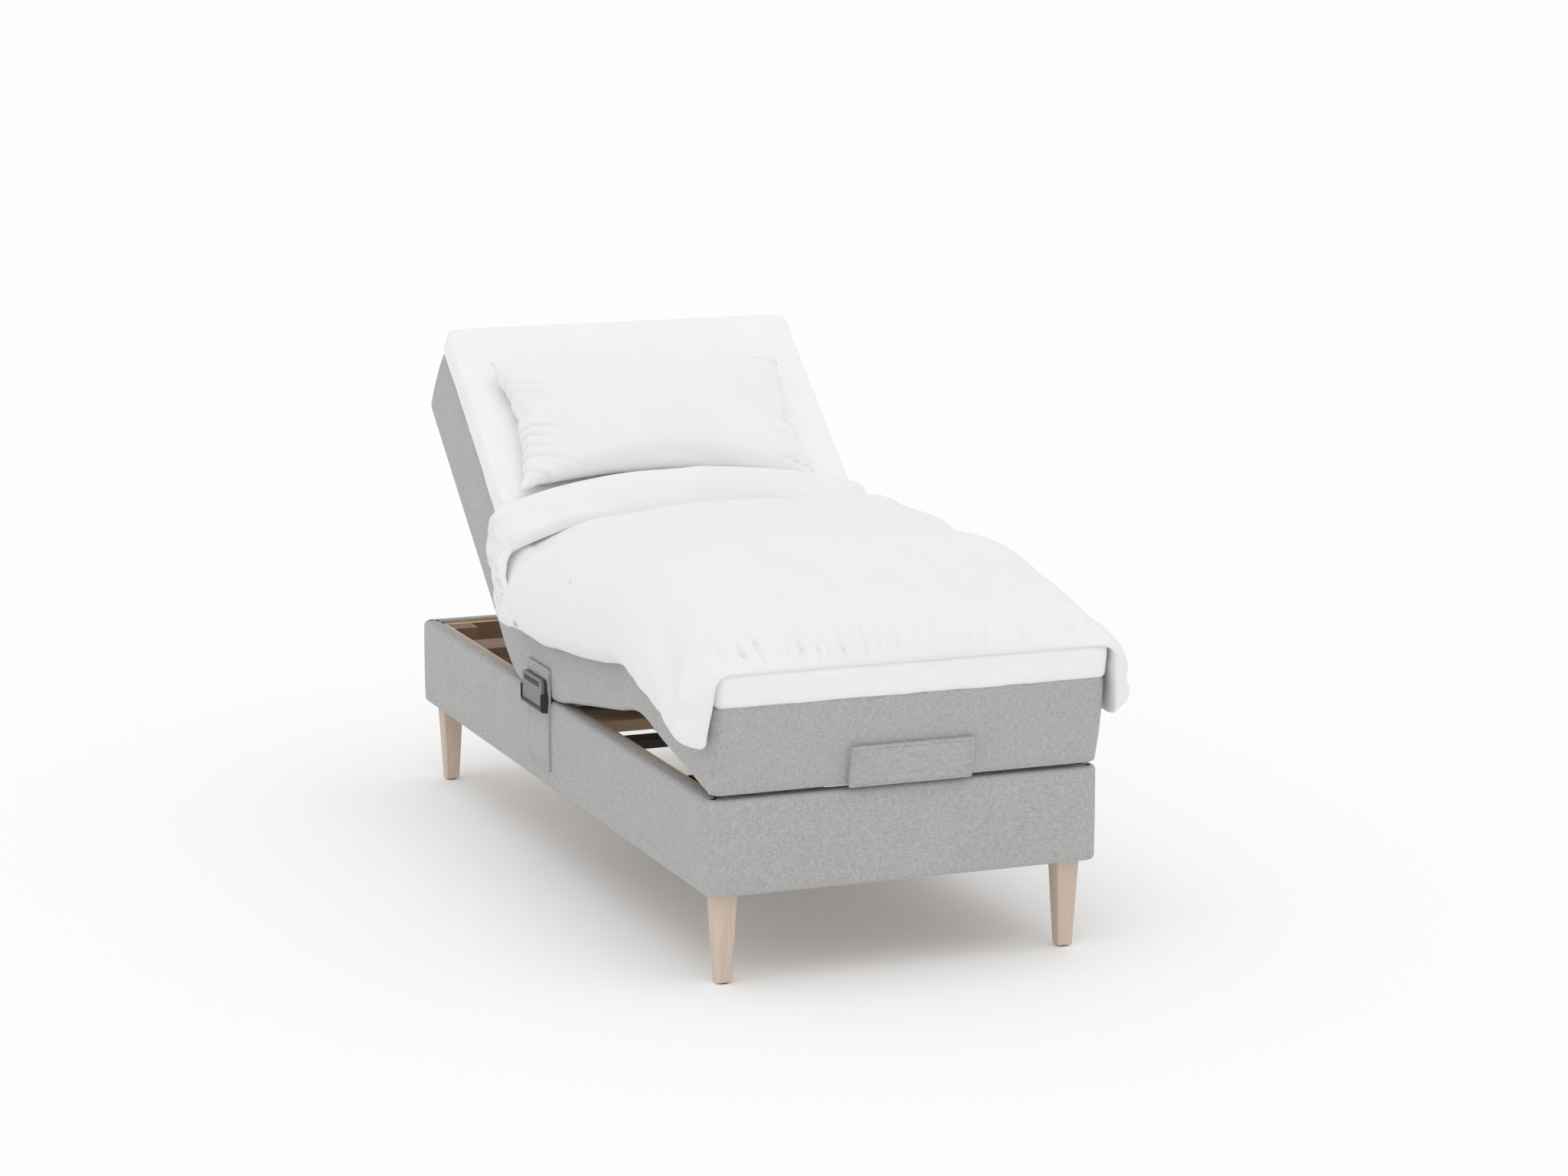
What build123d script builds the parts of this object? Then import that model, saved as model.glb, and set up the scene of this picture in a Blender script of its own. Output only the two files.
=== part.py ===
from build123d import *
import os
from math import asin, atan2, cos, degrees, hypot, radians, sin, tan

# Adjustable bed on a box base, drawn with the back and the thighs raised.
# X runs across the bed, +Y towards the head end, Z up from the floor. Millimetres.

# ---- box base ----
base_length = 2100
base_width = 900
base_height = 210
leg_height = 200
outline_shift = 25  # puts the middle of the bed, foot overhang included, at Y = 0
cover_thickness = 13  # wadding and fabric on the outer faces
cover_wrap = 5  # the same cover where it turns over the board edges
board_thickness = 22
liner_thickness = 18
liner_drop = 8
liner_depth = 160
corner_radius = 26
edge_radius = 10
mitre_gap = 0.2

# ---- legs ----
leg_side_inset = 54
leg_end_inset = 61
leg_top = 54
leg_bottom = 34
leg_top_round = 7
leg_bottom_round = 5
glide_height = 4
glide_chamfer = 1
plate_side = 92
plate_thickness = 5
bolt_radius = 5
bolt_clearance = 0.3
bolt_depth = 30  # into the leg
bolt_hole_depth = 32
bolt_reach = 28  # above the leg, through the plate into the block
block_side = 62
block_bore_clearance = 1
screw_inset = 14  # from the middle of a block, away from the corner
screw_clearance = 0.2
screw_length = 40
screw_head = 3

# ---- headboard inserts ----
insert_spacing_x = 600
insert_spacing_z = 90
insert_height = 305
insert_bore = 4
insert_radius = 6.5
insert_length = 20

# ---- sections, flat lengths from the head ----
back_length = 836
seat_length = 214
thigh_length = 590
calf_length = base_length - back_length - seat_length - thigh_length
back_raised = 39.5
thigh_raised = 9
back_limit = 60
thigh_limit = 30
foot_clearance = 7.8  # under the calf section, whose foot end just clears the base

# ---- layers ----
seam_gap = 1
mattress_thickness = 200
topper_thickness = 70
duvet_thickness = 50
layer_gap = 0.5
joint_gap = 0.5
soft_corner = 32
panel_thickness = 12
panel_inset = 30
panel_side_inset = 58
panel_clearance = 0.5

# ---- hinges between the sections ----
hinge_drop = 25  # hip and thigh hinges, below the top of the mattress
knee_rise = 20  # knee hinge, above the underside of the mattress
leaf_width = 28
leaf_length = 84
leaf_thickness = 3
leaf_gap = 0.4
leaf_inset = 42
pin_radius = 4
pin_clearance = 0.05
pin_head = 2
slot_width = 14
slot_clearance = 1.5

# ---- duvet and pillow ----
duvet_side = 73
duvet_head = 300
fold_length = 200
fold_thickness = 40
duvet_hang = {"back": 560, "seat": 553, "thigh": 508, "calf": 512}
pillow_width = 740
pillow_length = 435
pillow_height = 100
pillow_round = 42

# ---- side flap, holder and handset ----
flap_width = 155
flap_middle = 66
flap_bottom = 244
flap_top = 487
flap_thickness = 7
flap_round = 2.5
holder_width = 152
holder_bottom = 384
holder_wall = 2.5
holder_side_height = 44
holder_lip = 12
holder_round = 8
handset_width = 145
handset_height = 74
handset_depth = 12
handset_split = 4.5
handset_round = 9
handset_edge = 2
handset_clearance = 0.5
key_count = 6
key_pitch = 18
key_width = 15
key_height = 12
key_depth = 4.5
key_proud = 1.2
key_well = 6
key_clearance = 0.4
key_drop = 13
key_round = 2
key_edge = 0.8

# ---- drive and lift shafts: each shaft's place along its section from the section's
# hinge on the flat bed, and its depth below the top of the base ----
back_shaft = (166, 110)
thigh_shaft = (360, 130)
back_arm = 280
thigh_arm = 300
shoe_play = 2
shaft_radius = 15
shaft_bore = 0.1
tube_wall = 2.5
arm_width = 30
arm_thickness = 6
arm_x = 150
shoe_radius = 18
shoe_width = 26
bracket_thickness = 5
bracket_length = 90
bracket_height = 60
bracket_gap = 1
runner_width = 24
runner_clearance = 3
runner_minimum = 1
runner_steps = 6
housing_width = 160
housing_wall = 4
housing_rim = 34
housing_depth = 92
housing_corner = 10
housing_edge = 6
lid_thickness = 5
lid_recess = 3
lid_clearance = 0.5
lid_screw_radius = 2
lid_screw_length = 22
lid_screw_head = 2
lid_bore = 0.1  # around each lid screw and the inlet
boss_radius = 7
boss_drop = 12  # the bosses and the lid's seat, in from the housing floor
boss_hole = 20
boss_merge = 1  # how far each boss runs into the housing walls
inlet_radius = 9
inlet_bore = 4
inlet_reach = 6
inlet_chamfer = 1
inlet_offset = 60
inlet_depth = 100
screw_radius = 3

# ---- crossbeams: the thigh beam, the bearers and the crossbar are placed from the thigh
# hinge, and the head beam from the hip hinge ----
beam_thickness = 28
beam_top_drop = 15
beam_width = 115
thigh_beam_offset = 130
head_beam_offset = 546
bearer_offsets = (60, 120)
bearer_width = 36
crossbar_offset = 298
crossbar_width = 50
crossbar_height = 25
crossbar_drop = 30
crossbar_wall = 2
crossbar_round = 4
beam_round = 3

# ---- foot patch ----
patch_width = 280
patch_height = 92
patch_thickness = 14
patch_round = 4

# ---- values that follow from the ones above ----
half_width = base_width / 2
head_y = base_length / 2 + outline_shift
middle_y = outline_shift
base_bottom = leg_height
base_top = leg_height + base_height
mattress_low = base_top + seam_gap
mattress_high = mattress_low + mattress_thickness
topper_low = mattress_high + layer_gap
topper_high = topper_low + topper_thickness
duvet_low = topper_high + layer_gap
duvet_high = duvet_low + duvet_thickness
hinge_z = mattress_high - hinge_drop
knee_z = mattress_low + knee_rise
frame_inset = cover_thickness + board_thickness
inner_inset = frame_inset + liner_thickness
inner_x = half_width - inner_inset
hip_y = head_y - back_length
thigh_y = hip_y - seat_length

os.makedirs("parts", exist_ok=True)


def save(piece, name):
    piece.part.label = name
    export_step(piece.part, f"parts/{name}.step")


# A section's plane has its origin at the section's hinge, local x across the bed,
# local y along the section towards the head and local z out of the lying surface.
def section_plane(y, z, tilt):
    a = radians(tilt)
    return Plane(origin=(0, y, z), x_dir=(1, 0, 0), z_dir=(0, -sin(a), cos(a)))


planes = {
    "back": section_plane(hip_y, hinge_z, back_raised),
    "seat": section_plane(hip_y, hinge_z, 0),
    "thigh": section_plane(thigh_y, hinge_z, -thigh_raised),
}
knee = planes["thigh"].from_local_coords((0, -thigh_length, knee_z - hinge_z))
knee_above = knee.Z - base_top - foot_clearance
calf_dropped = degrees(
    asin(knee_above / hypot(calf_length, knee_rise)) - atan2(knee_rise, calf_length)
)
knee_ratio = (thigh_raised + calf_dropped) / thigh_raised
planes["calf"] = section_plane(knee.Y, knee.Z, calf_dropped)
zero_height = {"back": hinge_z, "seat": hinge_z, "thigh": hinge_z, "calf": knee_z}

# Each hinge: its height on the flat bed, and the half angles that the soft layers
# are cut back by above and below it, so that they meet only at full travel.
hinges = {
    "hip": (hinge_z, back_limit / 2, 0),
    "thigh": (hinge_z, thigh_limit / 2, 0),
    "knee": (knee_z, 0, thigh_limit * knee_ratio / 2),
}
# Each section's head end and foot end, as a place along its plane and a hinge there.
ends = {
    "back": ((back_length, None), (0, "hip")),
    "seat": ((0, "hip"), (-seat_length, "thigh")),
    "thigh": ((0, "thigh"), (-thigh_length, "knee")),
    "calf": ((0, "knee"), (-calf_length, None)),
}


def side_of(section, x):
    plane = planes[section]
    return Plane(origin=plane.from_local_coords((x, 0, 0)), x_dir=plane.y_dir, z_dir=(1, 0, 0))


# Side view of one layer of a section, between two heights given on the flat bed.
def outline(section, low, high, inset=0):
    points = []
    for (place, hinge), inward, upward in zip(ends[section], (-1, 1), (True, False)):
        levels = [low, high]
        if hinge and low < hinges[hinge][0] < high:
            levels.insert(1, hinges[hinge][0])
        for level in levels if upward else reversed(levels):
            back_off = inset
            if hinge:
                height, above, below = hinges[hinge]
                back_off = joint_gap + max(level - height, 0) * tan(radians(above))
                back_off += max(height - level, 0) * tan(radians(below))
            points.append((place + inward * back_off, level - zero_height[section]))
    return points


def free_corners(piece, section, radius):
    plane = planes[section]
    uprights = piece.edges().filter_by(Axis(plane.origin, plane.z_dir))
    along = uprights.sort_by(Axis(plane.origin, plane.y_dir))
    fillet(along[-2:] if section == "back" else along[:2], radius)


# ================= box base =================

box_middle = (0, middle_y)

with BuildPart() as base_cover:
    with BuildSketch(Plane.XY.offset(base_bottom)):
        with Locations(box_middle):
            RectangleRounded(base_width, base_length, corner_radius)
    extrude(amount=base_height)
    rims = base_cover.faces().filter_by(Axis.Z).edges()
    fillet(rims, edge_radius)
    with BuildSketch(Plane.XY.offset(base_bottom + cover_wrap)):
        with Locations(box_middle):
            Rectangle(base_width - 2 * cover_thickness, base_length - 2 * cover_thickness)
    extrude(amount=base_height - 2 * cover_wrap, mode=Mode.SUBTRACT)
    with BuildSketch(Plane.XY.offset(base_bottom)):
        with Locations(box_middle):
            Rectangle(base_width - 2 * frame_inset, base_length - 2 * frame_inset)
    extrude(amount=base_height, mode=Mode.SUBTRACT)
    with BuildSketch(Plane.XZ.offset(-head_y)):
        with Locations((0, insert_height)):
            with GridLocations(insert_spacing_x, insert_spacing_z, 2, 2):
                Circle(insert_radius)
    extrude(amount=cover_thickness, mode=Mode.SUBTRACT)
    # The cover is sewn from four walls that meet on mitres at the corners.
    with BuildSketch(Plane.XY.offset(base_bottom)):
        for sx, sy in ((-1, -1), (1, -1), (1, 1), (-1, 1)):
            corner = (sx * half_width, middle_y + sy * base_length / 2)
            with Locations(Location(corner, sx * sy * 45)):
                Rectangle(4 * frame_inset, mitre_gap)
    extrude(amount=base_height, mode=Mode.SUBTRACT)
save(base_cover, "base_cover")

board_x = half_width - cover_thickness - board_thickness / 2
board_y = base_length / 2 - cover_thickness - board_thickness / 2
with BuildPart() as side_boards:
    with BuildSketch(Plane.XY.offset(base_bottom + cover_wrap)):
        with Locations((-board_x, middle_y), (board_x, middle_y)):
            Rectangle(board_thickness, base_length - 2 * cover_thickness)
    extrude(amount=base_height - 2 * cover_wrap)
save(side_boards, "side_boards")

with BuildPart() as end_boards:
    with BuildSketch(Plane.XY.offset(base_bottom + cover_wrap)):
        with Locations((0, middle_y - board_y), (0, middle_y + board_y)):
            Rectangle(base_width - 2 * frame_inset, board_thickness)
    extrude(amount=base_height - 2 * cover_wrap)
    with BuildSketch(Plane.XZ.offset(-head_y)):
        with Locations((0, insert_height)):
            with GridLocations(insert_spacing_x, insert_spacing_z, 2, 2):
                Circle(insert_radius)
    extrude(amount=frame_inset, mode=Mode.SUBTRACT)
save(end_boards, "end_boards")

# Inner frame boards, set a little lower than the covered rim.
liner_x = half_width - frame_inset - liner_thickness / 2
liner_y = base_length / 2 - frame_inset - liner_thickness / 2
liner_low = base_top - liner_drop - liner_depth
with BuildPart() as inner_side_boards:
    with BuildSketch(Plane.XY.offset(liner_low)):
        with Locations((-liner_x, middle_y), (liner_x, middle_y)):
            Rectangle(liner_thickness, base_length - 2 * frame_inset)
    extrude(amount=liner_depth)
save(inner_side_boards, "inner_side_boards")

with BuildPart() as inner_end_boards:
    with BuildSketch(Plane.XY.offset(liner_low)):
        with Locations((0, middle_y - liner_y), (0, middle_y + liner_y)):
            Rectangle(2 * inner_x, liner_thickness)
    extrude(amount=liner_depth)
save(inner_end_boards, "inner_end_boards")

with BuildPart() as crossbeams:
    with BuildSketch(Plane.XY.offset(base_top - beam_top_drop)):
        for y in (thigh_y - thigh_beam_offset, hip_y + head_beam_offset):
            with Locations((0, y)):
                Rectangle(2 * inner_x, beam_width)
    extrude(amount=-beam_thickness)
    fillet(crossbeams.edges().filter_by(Axis.X), beam_round)
save(crossbeams, "crossbeams")

# Two bearers reach the underside of the seat section, which stays put.
with BuildPart() as seat_bearers:
    with BuildSketch(Plane.XY.offset(base_top)):
        for y in bearer_offsets:
            with Locations((0, thigh_y + y)):
                Rectangle(2 * inner_x, bearer_width)
    extrude(amount=-beam_thickness)
save(seat_bearers, "seat_bearers")

with BuildPart() as crossbar:
    with BuildSketch(Plane.YZ.offset(-inner_x)):
        with Locations((thigh_y - crossbar_offset, base_top - crossbar_drop - crossbar_height / 2)):
            RectangleRounded(crossbar_width, crossbar_height, crossbar_round)
            RectangleRounded(
                crossbar_width - 2 * crossbar_wall,
                crossbar_height - 2 * crossbar_wall,
                crossbar_round - crossbar_wall,
                mode=Mode.SUBTRACT,
            )
    extrude(amount=2 * inner_x)
save(crossbar, "steel_crossbar")

with BuildPart() as inserts:
    with BuildSketch(Plane.XZ.offset(-head_y + cover_thickness)):
        with Locations((0, insert_height)):
            with GridLocations(insert_spacing_x, insert_spacing_z, 2, 2):
                Circle(insert_radius)
                Circle(insert_bore, mode=Mode.SUBTRACT)
    extrude(amount=insert_length)
save(inserts, "headboard_inserts")

# ================= legs =================

leg_x = half_width - leg_side_inset
leg_y = base_length / 2 - leg_end_inset
corners = ((-1, -1), (1, -1), (-1, 1), (1, 1))
leg_points = [(sx * leg_x, middle_y + sy * leg_y) for sx, sy in corners]

with BuildPart() as legs:
    for centre in leg_points:
        with BuildSketch(Plane.XY.offset(glide_height)):
            with Locations(centre):
                RectangleRounded(leg_bottom, leg_bottom, leg_bottom_round)
        with BuildSketch(Plane.XY.offset(leg_height)):
            with Locations(centre):
                RectangleRounded(leg_top, leg_top, leg_top_round)
        loft()
    with BuildSketch(Plane.XY.offset(leg_height)):
        with Locations(*leg_points):
            Circle(bolt_radius + bolt_clearance)
    extrude(amount=-bolt_hole_depth, mode=Mode.SUBTRACT)
save(legs, "legs")

with BuildPart() as glides:
    with BuildSketch():
        with Locations(*leg_points):
            Circle(leg_bottom / 2 - glide_height)
    extrude(amount=glide_height)
    chamfer(glides.faces().sort_by(Axis.Z)[0].edges(), glide_chamfer)
save(glides, "leg_glides")

with BuildPart() as leg_bolts:
    with BuildSketch(Plane.XY.offset(leg_height - bolt_depth)):
        with Locations(*leg_points):
            Circle(bolt_radius)
    extrude(amount=bolt_depth + bolt_reach)
save(leg_bolts, "leg_bolts")

# Plates sit inside the wrapped rim, under corner blocks that tie the boards together.
block_x = inner_x - block_side / 2
block_y = base_length / 2 - inner_inset - block_side / 2
plate_x = half_width - frame_inset - seam_gap - plate_side / 2
plate_y = base_length / 2 - frame_inset - seam_gap - plate_side / 2
screw_points = [
    (sx * (block_x - screw_inset), middle_y + sy * (block_y - screw_inset)) for sx, sy in corners
]
with BuildPart() as plates:
    with BuildSketch(Plane.XY.offset(leg_height)):
        for sx, sy in corners:
            with Locations((sx * plate_x, middle_y + sy * plate_y)):
                Rectangle(plate_side, plate_side)
        with Locations(*leg_points):
            Circle(bolt_radius + bolt_clearance, mode=Mode.SUBTRACT)
        with Locations(*screw_points):
            Circle(screw_radius + screw_clearance, mode=Mode.SUBTRACT)
    extrude(amount=plate_thickness)
save(plates, "leg_plates")

with BuildPart() as blocks:
    with BuildSketch(Plane.XY.offset(leg_height + plate_thickness)):
        for sx, sy in corners:
            with Locations((sx * block_x, middle_y + sy * block_y)):
                Rectangle(block_side, block_side)
        with Locations(*screw_points):
            Circle(screw_radius + screw_clearance, mode=Mode.SUBTRACT)
        with Locations(*leg_points):
            Circle(bolt_radius + block_bore_clearance, mode=Mode.SUBTRACT)
    extrude(amount=base_height - liner_drop - plate_thickness)
save(blocks, "corner_blocks")

with BuildPart() as plate_screws:
    with BuildSketch(Plane.XY.offset(leg_height)):
        with Locations(*screw_points):
            Circle(screw_radius)
    extrude(amount=screw_length)
    with BuildSketch(Plane.XY.offset(leg_height)):
        with Locations(*screw_points):
            Circle(2 * screw_radius)
    extrude(amount=-screw_head)
save(plate_screws, "plate_screws")

# ================= hinged sections =================

leaf_x = half_width - leaf_inset
slot_half = leaf_width / 2 + slot_clearance
# Each hinge seen from a section: its place along the section and its height there.
hinge_ends = {
    "back": (("hip", 0, 0, 1),),
    "seat": (("hip", 0, 0, -1), ("thigh", -seat_length, 0, 1)),
    "thigh": (("thigh", 0, 0, -1), ("knee", -thigh_length, knee_z - hinge_z, 1)),
    "calf": (("knee", 0, 0, -1),),
}

for section in planes:
    plane = planes[section]
    side = side_of(section, 0)
    with BuildPart() as mattress:
        with BuildSketch(side):
            with BuildLine():
                Polyline(*outline(section, mattress_low, mattress_high), close=True)
            make_face()
        extrude(amount=half_width, both=True)
        if section in ("back", "calf"):
            free_corners(mattress, section, soft_corner)
        (head_end, _), (foot_end, _) = ends[section]
        panel_middle = (head_end + foot_end) / 2
        panel_length = head_end - foot_end - 2 * panel_inset
        floor_level = mattress_low - zero_height[section]
        with BuildSketch(plane.offset(floor_level)):
            with Locations((0, panel_middle)):
                Rectangle(
                    base_width - 2 * panel_side_inset + 2 * panel_clearance,
                    panel_length + 2 * panel_clearance,
                )
        extrude(amount=panel_thickness + panel_clearance, mode=Mode.SUBTRACT)
        for hinge, along, height, outward in hinge_ends[section]:
            for x in (-leaf_x, leaf_x):
                with BuildSketch(side_of(section, x)):
                    with Locations((along + outward * leaf_length / 2, height)):
                        Rectangle(leaf_length + 2 * slot_clearance, 2 * slot_half)
                    with Locations((along, height)):
                        Circle(slot_half)
                extrude(amount=slot_width / 2, both=True, mode=Mode.SUBTRACT)
    save(mattress, f"mattress_{section}")

    with BuildPart() as panel:
        with BuildSketch(plane.offset(floor_level)):
            with Locations((0, panel_middle)):
                Rectangle(base_width - 2 * panel_side_inset, panel_length)
        extrude(amount=panel_thickness)
    save(panel, f"panel_{section}")

    with BuildPart() as topper:
        with BuildSketch(side):
            with BuildLine():
                Polyline(*outline(section, topper_low, topper_high), close=True)
            make_face()
        extrude(amount=half_width, both=True)
        if section in ("back", "calf"):
            free_corners(topper, section, soft_corner)
    save(topper, f"topper_{section}")

# Flat steel leaves, a pair at each hinge: the one on the head side of the hinge
# lies outside the one on the foot side, and a headed pin joins them.
leaf_sides = {
    "hip": (("back", 0, 0, 1), ("seat", 0, 0, -1)),
    "thigh": (("seat", -seat_length, 0, 1), ("thigh", 0, 0, -1)),
    "knee": (("thigh", -thigh_length, knee_z - hinge_z, 1), ("calf", 0, 0, -1)),
}
for hinge, sides in leaf_sides.items():
    for layer, (section, along, height, outward) in zip((1, -1), sides):
        with BuildPart() as leaf:
            for edge in (-1, 1):
                x = edge * (leaf_x + layer * (leaf_gap + leaf_thickness) / 2)
                with BuildSketch(side_of(section, x)):
                    with Locations((along, height)):
                        Circle(leaf_width / 2)
                    with Locations((along + outward * leaf_length / 2, height)):
                        Rectangle(leaf_length, leaf_width)
                    with Locations((along, height)):
                        Circle(pin_radius + pin_clearance, mode=Mode.SUBTRACT)
                extrude(amount=leaf_thickness / 2, both=True)
        save(leaf, f"{hinge}_leaf_{section}")
    head_section, along, height, outward = sides[0]
    pin_reach = leaf_thickness + leaf_gap / 2
    with BuildPart() as pins:
        for edge in (-1, 1):
            with BuildSketch(side_of(head_section, edge * leaf_x)):
                with Locations((along, height)):
                    Circle(pin_radius)
            extrude(amount=pin_reach, both=True)
            for end in (-1, 1):
                face_x = edge * leaf_x + end * (pin_reach + leaf_gap)
                with BuildSketch(side_of(head_section, face_x)):
                    with Locations((along, height)):
                        Circle(2 * pin_radius)
                extrude(amount=end * pin_head)
                with BuildSketch(side_of(head_section, face_x)):
                    with Locations((along, height)):
                        Circle(pin_radius)
                extrude(amount=-end * leaf_gap)
    save(pins, f"{hinge}_pins")

# ================= duvet and pillow =================

for section in planes:
    side = side_of(section, 0)
    top_points = outline(section, duvet_low, duvet_high)
    side_points = outline(section, duvet_hang[section], duvet_high)
    if section == "back":
        top_points = [(min(u, duvet_head), v) for u, v in top_points]
        side_points = [(min(u, duvet_head), v) for u, v in side_points]
    with BuildPart() as duvet:
        with BuildSketch(side):
            with BuildLine():
                Polyline(*top_points, close=True)
            make_face()
        extrude(amount=half_width + layer_gap, both=True)
        for edge in (-1, 1):
            with BuildSketch(side_of(section, edge * (half_width + 2 * layer_gap))):
                with BuildLine():
                    Polyline(*side_points, close=True)
                make_face()
            extrude(amount=edge * duvet_side)
        if section == "back":
            with BuildSketch(planes["back"].offset(duvet_high + layer_gap - hinge_z)):
                with Locations((0, duvet_head - fold_length / 2)):
                    Rectangle(base_width, fold_length)
            extrude(amount=fold_thickness)
    save(duvet, f"duvet_{section}")

pillow_level = topper_high + layer_gap - hinge_z
with BuildPart() as pillow:
    with BuildSketch(planes["back"].offset(pillow_level)):
        with Locations((0, duvet_head + layer_gap + pillow_length / 2)):
            Rectangle(pillow_width, pillow_length)
    extrude(amount=pillow_height)
    fillet(pillow.edges(), pillow_round)
save(pillow, "pillow")

# ================= foot patch =================

with BuildPart() as patch:
    patch_low = mattress_low - knee_z
    with BuildSketch(planes["calf"].offset(patch_low)):
        with Locations((0, -calf_length - patch_thickness / 2 - layer_gap)):
            Rectangle(patch_width, patch_thickness)
    extrude(amount=patch_height)
    front = patch.faces().sort_by(Axis(planes["calf"].origin, planes["calf"].y_dir))[0]
    fillet(front.edges(), patch_round)
save(patch, "foot_patch")

# ================= side flap, holder and handset =================

flap_y = middle_y + flap_middle
flap_x = -half_width - layer_gap
with BuildPart() as flap:
    with BuildSketch(Plane.XY.offset(flap_bottom)):
        with Locations((flap_x - flap_thickness / 2, flap_y)):
            Rectangle(flap_thickness, flap_width)
    extrude(amount=flap_top - flap_bottom)
    fillet(flap.faces().sort_by(Axis.X)[0].edges(), flap_round)
save(flap, "side_flap")

holder_x = flap_x - flap_thickness
pocket_x = holder_x - holder_wall
pocket_depth = handset_depth + 2 * handset_clearance
pocket_width = handset_width + 2 * handset_clearance
holder_depth = pocket_depth + 2 * holder_wall
handset_low = holder_bottom + holder_wall + handset_clearance
with BuildPart() as holder:
    with BuildSketch(Plane.XY.offset(holder_bottom)):
        with Locations((holder_x - holder_depth / 2, flap_y)):
            Rectangle(holder_depth, holder_width)
    extrude(amount=holder_side_height)
    lower_lip = holder.edges().filter_by(Axis.Y).group_by(Axis.Z)[0].sort_by(Axis.X)[0]
    fillet(lower_lip, holder_round)
    with BuildSketch(Plane.XY.offset(holder_bottom + holder_wall)):
        with Locations((pocket_x - pocket_depth / 2, flap_y)):
            Rectangle(pocket_depth, pocket_width)
    extrude(amount=holder_side_height, mode=Mode.SUBTRACT)
    with BuildSketch(Plane.XY.offset(holder_bottom + holder_lip)):
        with Locations((holder_x - holder_depth + holder_wall / 2, flap_y)):
            Rectangle(holder_wall, pocket_width)
    extrude(amount=holder_side_height, mode=Mode.SUBTRACT)
save(holder, "handset_holder")

# The handset lies across the holder: local x towards the head, local y up.
handset_back_x = pocket_x - handset_clearance
handset_z = handset_low + handset_height / 2
handset_plane = Plane(
    origin=(handset_back_x, flap_y, handset_z), x_dir=(0, -1, 0), z_dir=(-1, 0, 0)
)
key_y = handset_height / 2 - key_drop
with BuildPart() as handset_back:
    with BuildSketch(handset_plane):
        RectangleRounded(handset_width, handset_height, handset_round)
    extrude(amount=handset_split)
save(handset_back, "handset_back")

with BuildPart() as handset_front:
    with BuildSketch(handset_plane.offset(handset_split)):
        RectangleRounded(handset_width, handset_height, handset_round)
    extrude(amount=handset_depth - handset_split)
    fillet(handset_front.faces().sort_by(Axis.X)[0].edges(), handset_edge)
    with BuildSketch(handset_plane.offset(handset_depth)):
        with Locations((0, key_y)):
            with GridLocations(key_pitch, 0, key_count, 1):
                Rectangle(key_width + 2 * key_clearance, key_height + 2 * key_clearance)
    extrude(amount=-key_well, mode=Mode.SUBTRACT)
save(handset_front, "handset_front")

for number in range(key_count):
    key_along = (number - (key_count - 1) / 2) * key_pitch
    with BuildPart() as key:
        with BuildSketch(handset_plane.offset(handset_depth + key_proud - key_depth)):
            with Locations((key_along, key_y)):
                RectangleRounded(key_width, key_height, key_round)
        extrude(amount=key_depth)
        fillet(key.faces().sort_by(Axis.X)[0].edges(), key_edge)
    save(key, f"key_{number + 1}")

# ================= drive and lift shafts =================

# Each lift: its hinge, which way its section points, and its shaft and arm. The arm's
# shoe would follow the panel at a changing rate, so the shaft turns at the constant rate
# that meets the panel at both ends of the travel and stays under it between them.
lifts = {
    "back": (hip_y, 1, back_shaft, back_arm, back_raised, back_limit),
    "thigh": (thigh_y, -1, thigh_shaft, thigh_arm, thigh_raised, thigh_limit),
}


def touching_angle(lift, raised):
    _, _, (along, depth), arm, _, _ = lifts[lift]
    a = radians(raised)
    reach = -sin(a) * along + cos(a) * (base_top - depth - hinge_z)
    lift_height = mattress_low - hinge_z - shoe_radius - shoe_play - reach
    return raised + degrees(asin(lift_height / arm))


def shoe_centre(lift, raised):
    hinge_y, side, (along, depth), arm, _, limit = lifts[lift]
    flat = touching_angle(lift, 0)
    a = radians(flat + (touching_angle(lift, limit) - flat) / limit * raised)
    return hinge_y + side * (along + arm * cos(a)), base_top - depth + arm * sin(a)


shaft_places = {
    lift: (hinge_y + side * along, base_top - depth)
    for lift, (hinge_y, side, (along, depth), *_) in lifts.items()
}
for lift, (_, _, _, arm, raised, _) in lifts.items():
    shaft_y, shaft_z = shaft_places[lift]
    shoe_y, shoe_z = shoe_centre(lift, raised)
    arm_slope = degrees(atan2(shoe_z - shaft_z, shoe_y - shaft_y))
    across = Plane(origin=(-inner_x, shaft_y, shaft_z), x_dir=(0, 1, 0), z_dir=(1, 0, 0))
    shoe_plane = Plane(origin=(-inner_x, shoe_y, shoe_z), x_dir=(0, 1, 0), z_dir=(1, 0, 0))
    # A torque tube with two welded arms, each ending in a round shoe.
    with BuildPart() as shaft:
        with BuildSketch(across.offset(bracket_gap)):
            Circle(shaft_radius)
        extrude(amount=2 * inner_x - 2 * bracket_gap)
        for x in (-arm_x, arm_x):
            with BuildSketch(across.offset(inner_x + x - arm_thickness / 2)):
                with Locations(Location((0, 0), arm_slope)):
                    with Locations((arm / 2, 0)):
                        SlotCenterToCenter(arm, arm_width)
            extrude(amount=arm_thickness)
        for edge in (-1, 1):
            start = inner_x + edge * (arm_x + arm_thickness / 2)
            with BuildSketch(shoe_plane.offset(start)):
                Circle(shoe_radius)
            extrude(amount=edge * shoe_width)
        with BuildSketch(across.offset(bracket_gap)):
            Circle(shaft_radius - tube_wall)
        extrude(amount=2 * inner_x - 2 * bracket_gap, mode=Mode.SUBTRACT)
    save(shaft, f"{lift}_lift_shaft")

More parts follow.
